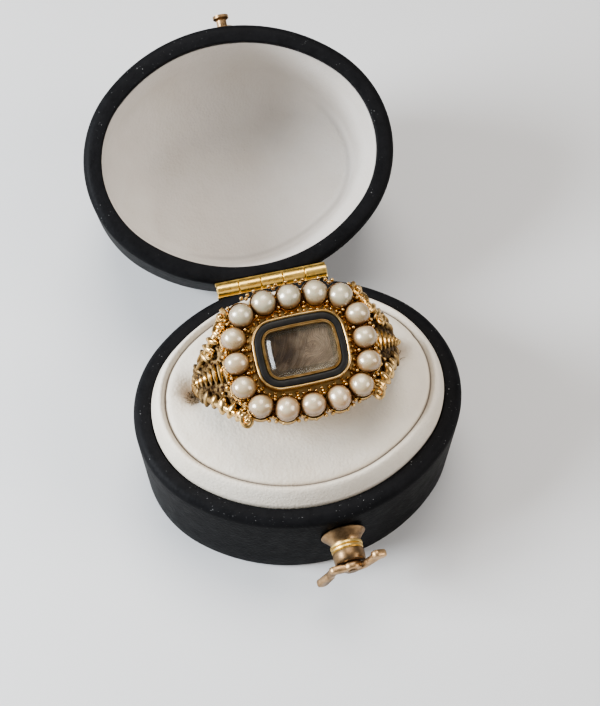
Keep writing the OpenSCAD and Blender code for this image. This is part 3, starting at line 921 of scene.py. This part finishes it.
# The ground under a shoulder's leaves, darkened in the gold by patina and painted shade
def shoulderGround(bm):
    sections = 14
    circles = []
    for i in range(sections):
        angle = 82 - 56 * i / (sections - 1)
        wide = 0.9 + 0.9 * ease(74, 52, angle) + 2.9 * ease(52, 33, angle)
        circle = []
        for k in range(20):
            a = 2 * pi * k / 20
            y = wide * copysign(abs(cos(a)) ** 0.7, cos(a)) - 0.2
            lift = (0.12 if sin(a) > 0 else 0.85 + 0.5 * ease(60, 30, angle)) * sin(a)
            circle.append(shoulderPoint(angle, y, webRadius(angle) - 0.35 * (y / wide) ** 2 + lift))
        circles.append(circle)
    skin(bm, circles)


# A stem down an arm under leaves that overlap across it, chunkier on the front arm, and a curl at its tip
def shoulderArm(bm, flip):
    front = flip < 0
    joints = 18
    stem = [armAt(i / joints, flip) for i in range(joints + 1)]
    points = [shoulderPoint(a, flip * y, r - 0.35) for a, y, r in stem]
    radii = [0.46 - 0.08 * i / joints for i in range(joints + 1)]
    tube(bm, points, radii, lambda i: shoulderUp(stem[i][0]), sides=10)
    count = 10 if front else 12
    for i in range(count):
        f = 0.02 + 0.9 * i / (count - 1)
        a0, y0, r0 = armAt(f, flip)
        swell = sin(pi * min(1, f * 1.15)) ** 0.7
        reach = (0.5 + 0.32 * swell) if front else (0.36 + 0.4 * swell * ease(0.9, 0.5, f))
        reach *= 1 + 0.16 * sin(i * 2.3)
        lean = (2.6 if front else 3.2) + 0.9 * cos(i * 1.7)
        start = shoulderPoint(a0 - lean * 0.8, flip * (y0 - reach), r0 - 0.2)
        end = shoulderPoint(a0 + lean, flip * (y0 + reach * 0.8), r0 - 0.32)
        wide = (0.43 if i % 3 else 0.52) if front else 0.36
        lobe(bm, start, end, wide, 0.4 if i % 2 else 0.47, shoulderUp(a0), taper=0.25)
    angle, along, radius = armRows[flip][-1]
    size = 0.74 if front else 0.62
    scroll(bm, angle + 0.8, flip * (along + 0.05), radius + 0.1, size, flip, 1.15, 0.27)
    start = shoulderPoint(angle + 7, flip * (along - 1.2), radius - 0.1)
    end = shoulderPoint(angle + 2.4, flip * (along - 0.1), radius)
    lobe(bm, start, end, 0.34, 0.36, shoulderUp(angle + 4), veins=1.3)


# A volute and leaves behind the fan, and beads round them
def shoulderVolute(bm):
    scroll(bm, 42.0, 1.62, 12.15, 0.42, 1, 1.35, 0.17)
    leaves = [
        # angle and place along the finger at each end, width
        (46.5, 1.5, 57, 0.75, 0.3),
        (45, 2.3, 54, 1.45, 0.28),
        (36.5, 2.5, 40, 3.2, 0.24),
    ]
    for a0, y0, a1, y1, wide in leaves:
        end = shoulderPoint(a1, y1, 11.5 if a1 > 50 else 11.95)
        lobe(bm, shoulderPoint(a0, y0, 11.95), end, wide, 0.34, shoulderUp(a0), veins=1.3, taper=0.5)
    for a0, y0, size in ((36.5, -1.75, 0.27), (39.5, -2.1, 0.2), (33.6, -2.3, 0.2), (33.0, 1.9, 0.2)):
        bead(bm, shoulderPoint(a0, y0, 12.0), size, tall=1.1)


# The fan: ribs straight across a swelling that narrows to a point towards the shank
def shoulderFan(bm):
    start, end = shoulderPoint(31, -0.15, 11.5), shoulderPoint(64, -0.35, 10.9)
    lobe(bm, start, end, 0.85, 0.62, shoulderUp(46), taper=0.75)
    spots = [-1 + 2 * i / 8 for i in range(9)]
    radii = [0.235 * (0.5 + 0.5 * cos(pi / 2 * t * 0.9)) for t in spots]
    ribs = 8
    for k in range(ribs):
        f = k / (ribs - 1)
        half = 0.98 * (1 - f) ** 0.85 + 0.16
        r = 12.42 - 0.55 * f
        angles = [34.3 + 23 * f + 1.1 * t * t for t in spots]
        points = []
        for t, angle in zip(spots, angles):
            points.append(shoulderPoint(angle, t * half - 0.15 - 0.2 * f, r - 0.34 * t * t * (1 - 0.4 * f)))
        tube(bm, points, radii, lambda i: shoulderUp(angles[i]), sides=8)


def makeShoulder(bm):
    shoulderGround(bm)
    for flip in (-1, 1):
        shoulderArm(bm, flip)
    shoulderVolute(bm)
    shoulderFan(bm)


# A flat coil of tapering wire that rises towards its eye
def scroll(bm, angle, along, radius, size, flip, turns, wire):
    centre = shoulderPoint(angle, along, radius)
    up = shoulderUp(angle)
    one = Vector((0, 1, 0))
    two = up.cross(one).normalized()
    points, radii = [], []
    count = 22
    for i in range(count):
        f = i / (count - 1)
        a = flip * (2 * pi * turns * f)
        r = size * (1 - 0.82 * f)
        points.append(centre + r * (cos(a) * one + sin(a) * two) + up * 0.14 * f)
        radii.append(wire * (1 - 0.35 * f) * (0.35 if i in (0, count - 1) else 1))
    tube(bm, points, radii, up, sides=8)
    bead(bm, centre + up * 0.16, wire * 1.15)


# The shank, turned about the finger's axis, and the back of the head, hollowed by the finger hole
def makeShank(bm):
    finger, drop = ring["fingerR"], ring["drop"]
    section = [(finger, -1.05), (finger + 0.05, -1.2)]
    for a in range(-80, 81, 16):
        section.append((finger + 0.3 + 0.9 * cos(radians(a)), 1.2 * sin(radians(a))))
    section += [(finger + 0.05, 1.2), (finger, 1.05)]
    turned(bm, [Vector((r, y, -drop)) for r, y in section], (0, 0, -drop), (0, 1, 0), 120)

    def backHeight(x, y, row):
        return -drop + sqrt((finger + 0.02) ** 2 - x * x) if row[1] is None else row[1]

    rows = [(2.1, None), (1.0, None), (0.0, None), (-0.1, -1.6), (-0.1, -1.3)]
    loft(bm, roundRect(5.6, 3.9, 2.2), rows, 96, height=backHeight)


# A plate with a scallop round each pearl
def makePlate(bm):
    top, low = head["plateTop"], head["plateLow"]
    rows = [(0.35, low - 0.05), (0.1, low), (0.0, -1.2), (0.0, -0.5), (0.06, top), (0.16, top), (0.3, -0.55)]
    rows += [(1.6, -0.62), (2.2, -0.62)]
    loft(bm, scallop, rows, 360)


# A low cup round a pearl, and the beads beside it: outside, between this pearl and the next, and inside
def makeSeat(bm, x, y, r, after):
    cup = [(r + 0.02, -0.95), (r + 0.16, -0.95), (r + 0.12, -0.2), (r + 0.05, -0.12), (r, -0.2)]
    circles = []
    for reach, z in cup:
        turns = [2 * pi * k / 28 for k in range(28)]
        circles.append([Vector((x + reach * cos(a), y + reach * sin(a), z)) for a in turns])
    skin(bm, circles, joined=True)
    nx, ny, nr = after
    mid = Vector(((x + nx) / 2, (y + ny) / 2, 0))
    across = Vector((nx - x, ny - y, 0)).normalized()
    way = Vector((across.y, -across.x, 0))
    back = 0.24 * ease(0.2, 0.9, way.y)
    outer = mid + way * ((r + nr) / 2 + back)
    for s, rise in ((-0.32, -0.2), (0.32, -0.2), (0.0, 0.1)):
        at = outer + across * s - way * (0.3 if s == 0 else 0)
        bead(bm, (at.x, at.y, rise - 0.22 + back), 0.19, tall=1.9)
    away = Vector((x, y, 0)).normalized()
    back = ease(0.2, 0.9, away.y)
    at = Vector((x, y, 0)) + away * (r + 0.1 + 0.16 * back)
    bead(bm, (at.x, at.y, -0.42 + 0.4 * back), 0.18, tall=1.6)
    for d, z, size in ((0.74, 0.0, 0.21), (1.06, -0.3, 0.2), (1.36, -0.5, 0.17)):
        at = mid - way * d
        bead(bm, (at.x, at.y, z), size, tall=1.7)
    inward = atan2(-away.y, -away.x)
    for turn, lift in ((-0.42, -0.52), (0, -0.46), (0.42, -0.52)):
        at = Vector((cos(inward + turn), sin(inward + turn), 0)) * (r + 0.24) + Vector((x, y, lift))
        bead(bm, at, 0.17, tall=1.2)


# How dark the gold is made, patina and painted shade together: most between the shoulders' leaves and low on
# the plate, some inside the frame
def recess(p):
    out = abs(p.x)
    if out > 6.2 or abs(p.y) > 6.3:
        angle = degrees(atan2(out, p.z + ring["drop"]))
        above = hypot(p.x, p.z + ring["drop"]) - webRadius(angle) + 0.35 * (p.y / 4.5) ** 2
        if 30 < angle < 80:
            return 1 - ease(0.12, 0.62, above)
    if out < 4.5 and abs(p.y) < 3.5 and p.z > -0.25:
        return 0.3
    dark = 0.3 if out < 5.4 and abs(p.y) < 4.6 else 0.75
    return dark * (1 - ease(-0.55, -0.05, p.z)) if p.z > -1.3 else 0.3


def makeRing():
    bm = bmesh.new()
    makeShank(bm)
    makePlate(bm)
    for i, (x, y, r) in enumerate(pearls):
        makeSeat(bm, x, y, r, pearls[(i + 1) % len(pearls)])
    makeBezel(bm)
    for flip in (1, -1):
        part = bmesh.new()
        makeShoulder(part)
        if flip < 0:
            bmesh.ops.scale(part, vec=(-1, 1, 1), verts=part.verts)
        joinInto(bm, part)
    obj = makeObject("ringBody", bm, place=ringPlace, angle=40, marks={"recess": recess}, slot="ring_gold")
    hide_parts("ring_body")


def joinInto(bm, part):
    mesh = bpy.data.meshes.new("part")
    bmesh.ops.recalc_face_normals(part, faces=part.faces)
    part.to_mesh(mesh)
    part.free()
    bm.from_mesh(mesh)
    bpy.data.meshes.remove(mesh)


# The frame round the glass: an outer gold border, the enamel's trough and two thin inner lines
def makeBezel(bm):
    outline = roundRect(head["frameA"], head["frameB"], head["frameR"], head["bow"])
    t, m = head["border"], head["border"] + head["enamel"]
    g = m + head["inner"]
    rows = [(0.1, -1.3), (0.0, -1.2), (0.0, 0.46), (0.04, 0.56), (0.11, 0.6), (t - 0.07, 0.59)]
    rows += [(t - 0.01, 0.53), (t, 0.12), (m, 0.12), (m + 0.01, 0.5), (m + 0.05, 0.58), (m + 0.1, 0.58)]
    rows += [(m + 0.13, 0.48), (m + 0.16, 0.48), (m + 0.19, 0.56), (m + 0.24, 0.56), (g, 0.46), (g, -0.44)]
    loft(bm, outline, rows, head["steps"])


makeRing()
print("ring made")


# The enamel lies in the trough of the frame
def makeEnamelBand():
    outline = roundRect(head["frameA"], head["frameB"], head["frameR"], head["bow"])
    t, m = head["border"], head["border"] + head["enamel"]
    bm = bmesh.new()
    rows = [(t + 0.02, 0.13), (t + 0.02, 0.46), (t + 0.1, 0.52), (t + 0.22, 0.545), (m - 0.22, 0.545)]
    rows += [(m - 0.1, 0.52), (m - 0.02, 0.46), (m - 0.02, 0.13)]
    loft(bm, outline, rows, head["steps"], joined=True)
    obj = makeObject("enamelBand", bm, place=ringPlace, angle=50, slot="enamel")
    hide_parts("enamel_border")


makeEnamelBand()

# Hair under the glass: combed strands that curl round an eye right of the middle
locks = {"slant": 0.62, "bend": 0.16, "curl": (1.35, 0.1), "curlSize": 1.3}


def flow(x, y):
    # Strands sweep up from the left, and curl over at the right
    across = 3.2 * (x * cos(locks["slant"]) - y * sin(locks["slant"]) + locks["bend"] * y * y)
    along = 2.0 * (x * sin(locks["slant"]) + y * cos(locks["slant"]))
    dx, dy = x - locks["curl"][0], y - locks["curl"][1]
    away = hypot(dx, dy * 1.1)
    pull = bell(away / locks["curlSize"])
    turn = atan2(dy, dx + 1e-6)
    return (across * (1 - pull) + 3.0 * away * pull, along * (1 - pull) + 2.0 * turn * pull)


# Half sizes and corner radius of what lies inside the gold frame, clear of it by the given gap
def insideFrame(gap):
    inside = head["border"] + head["enamel"] + head["inner"] + gap
    return (head["frameA"] - inside, head["frameB"] - inside, head["frameR"] - inside)


# Where the strands are darkest: left of the middle, and in a few patches
def clump(p):
    middle = exp(-(((p.x + 1.3) / 0.95) ** 2 + ((p.y + 0.25) / 0.95) ** 2))
    patches = ease(0.05, 0.45, noise.noise(Vector((p.x * 1.1, p.y * 1.3, 4.4))))
    return 0.8 * middle + 0.5 * patches * ease(2.2, -0.5, p.x)


def makeHairPanel():
    outline = roundRect(*insideFrame(0.04))
    bm = bmesh.new()

    def shrink(inset, t):
        x, y = outline(0, t)
        return (x * (1 - inset), y * (1 - inset))

    def height(x, y, row):
        if row[1] is not None:
            return row[1]
        wave = 0.025 * sin(flow(x, y)[0] * 2.6)
        return -0.29 + wave + 0.03 * noise.noise(Vector((x * 2, y * 2, 0.5)))

    rows = [(0.3, -0.43), (0.0, -0.43)] + [(k / 40, None) for k in range(40)]
    loft(bm, shrink, rows, head["steps"], height=height)
    marks = {
        "across": lambda p: flow(p.x, p.y)[0],
        "along": lambda p: flow(p.x, p.y)[1],
        "pale": lambda p: ease(-1.7, 1.8, p.x - 0.2 * p.y),
        "clump": clump,
    }
    obj = makeObject("hairPanel", bm, place=ringPlace, angle=80, marks=marks, slot="hair")
    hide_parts("hair_panel")


makeHairPanel()

# Glass: a flat table with a bevel of facets
glass = {"bevel": 0.48, "girdle": 0.36, "table": 0.7}


# How far a point lies inside a rounded rectangle
def roundInside(x, y, a, b, r):
    dx, dy = abs(x) - (a - r), abs(y) - (b - r)
    if dx > 0 and dy > 0:
        return r - hypot(dx, dy)
    return r - max(dx, dy)


def makeCrystalStone():
    a, b, r = insideFrame(0.03)
    outline = roundRect(a, b, r, 0.05)
    bm = bmesh.new()
    c = glass["bevel"]
    rows = [(0.12, -0.2), (0.0, -0.12), (0.0, glass["girdle"]), (0.03, glass["girdle"] + 0.03)]
    rows += [(c - 0.02, glass["table"] - 0.01), (c, glass["table"]), (c + 0.06, glass["table"])]
    loft(bm, outline, rows, 96)

    def bevelMark(p):
        return 1.0 if p.z > 0.3 and roundInside(p.x, p.y, a, b, r) < c - 0.01 else 0.0

    marks = {"bevel": bevelMark}
    obj = makeObject("crystalStone", bm, place=ringPlace, angle=12, marks=marks, slot="crystal")
    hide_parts("crystal")


makeCrystalStone()

# Pearls, slightly uneven, each with its own tint
pearlSet = {"size": 1.043, "uneven": 0.085, "endStretch": 1.035, "around": 40, "rows": 24}


# Marks of one pearl: its tint, the painted shade on its underside and the painted highlight near its top
def pearlMarks(x, y, tint):
    def low(p):
        return 0.95 * ease(1.06, 0.2, p.z)

    def top(p):
        return ease(0.6, 1.14, 0.92 * p.z - 0.22 * (p.x - x) + 0.3 * (p.y - y))

    return {"tint": lambda p: min(1, max(0, tint)), "low": low, "top": top}


def makePearls():
    random.seed(11)
    for i, (x, y, r) in enumerate(pearls):
        bm = bmesh.new()
        around, rows = pearlSet["around"], pearlSet["rows"]
        verts = bmesh.ops.create_uvsphere(bm, u_segments=around, v_segments=rows, radius=1)["verts"]
        squash = random.uniform(0.93, 1.0)
        atEnd = abs(x) > 5
        stretch = pearlSet["endStretch"] if atEnd else 1.0
        for v in verts:
            lump = noise.noise(v.co * 1.3 + Vector((i * 7.3, 0, 0)))
            lump = pearlSet["size"] - pearlSet["uneven"] * (0.5 + 0.5 * lump)
            v.co = Vector((v.co.x * stretch, v.co.y * squash, v.co.z)) * r * lump
        spin = unitPlace if atEnd else Matrix.Rotation(random.uniform(0, 6.28), 4, "Z")
        bmesh.ops.transform(bm, matrix=Matrix.Translation((x, y, 0)) @ spin, verts=bm.verts)
        tint = 0.45 + 0.4 * (y / 5.2) + random.uniform(-0.28, 0.28)
        marks = pearlMarks(x, y, tint)
        name = f"pearl_{i + 1:02d}"
        obj = makeObject(f"pearlBead{i + 1:02d}", bm, place=ringPlace, angle=180, marks=marks, slot="pearl")
        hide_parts(name)


makePearls()
print("pearls, hair and glass made")

# Floor, lights and world. The floor's and lights' sizes and places are in metres
studio = {"floor": 1.5, "world": 0.24, "aim": (0, 0, 0.015)}
lamps = [
    # name, place, size, power, colour
    ("keyLight", (-0.20, 0.02, 0.13), 0.11, 0.95, (0.9, 0.95, 1.0)),
    ("fillLight", (0.20, -0.10, 0.16), 0.16, 0.34, (1.0, 0.95, 0.89)),
    ("topLight", (0.02, 0.10, 0.26), 0.17, 0.4, (1.0, 0.95, 0.89)),
]


def makeStudio():
    bm = bmesh.new()
    bmesh.ops.create_grid(bm, x_segments=1, y_segments=1, size=studio["floor"])
    mesh = bpy.data.meshes.new("floor")
    bm.to_mesh(mesh)
    bm.free()
    floor = bpy.data.objects.new("floor", mesh)
    scene.collection.objects.link(floor)
    n = Nodes("paleFloor")
    n.color(n.mix(n.noise(3, 3, 0.5), (0.72, 0.72, 0.72), (0.76, 0.76, 0.76)))
    n.roughBetween(0.6, 0.7, 8)
    mesh.materials.append(n.material)
    for name, place, size, power, color in lamps:
        light = bpy.data.lights.new(name, "AREA")
        light.shape, light.size, light.energy = "DISK", size, power
        light.color = color
        lamp = bpy.data.objects.new(name, light)
        scene.collection.objects.link(lamp)
        lamp.location = place
        lamp.rotation_euler = (Vector(studio["aim"]) - Vector(place)).to_track_quat("-Z", "Y").to_euler()
    world = bpy.data.worlds.new("studio")
    scene.world = world
    world.use_nodes = True
    back = world.node_tree.nodes["Background"]
    back.inputs[0].default_value = (0.93, 0.95, 1.0, 1)
    back.inputs[1].default_value = studio["world"]


# The camera as fitted to the box's oval: angles in degrees, its place and lens in millimetres
view = {"azimuth": -14.331, "elevation": 61.087, "roll": 0.74, "lens": 65.567}
view["place"] = (-12.029, -47.469, 109.140)


def makeCamera():
    azimuth, elevation, roll = (radians(view[key]) for key in ("azimuth", "elevation", "roll"))
    flat = cos(elevation)
    back = Vector((sin(azimuth) * flat, -cos(azimuth) * flat, sin(elevation)))
    right = Vector((cos(azimuth), sin(azimuth), 0))
    up = back.cross(right)
    level = right * cos(roll) + up * sin(roll)
    upright = -right * sin(roll) + up * cos(roll)
    data = bpy.data.cameras.new("camera")
    data.sensor_fit, data.sensor_width, data.lens = "HORIZONTAL", 36, view["lens"]
    data.clip_start, data.clip_end = 0.005, 10
    cam = bpy.data.objects.new("camera", data)
    scene.collection.objects.link(cam)
    turn = Matrix((level, upright, back)).transposed().to_4x4()
    cam.matrix_world = Matrix.Translation(Vector(view["place"]) * mm) @ turn
    scene.camera = cam
    scene.view_settings.look = "AgX - Medium High Contrast"


makeStudio()
makeCamera()
print("scene made")
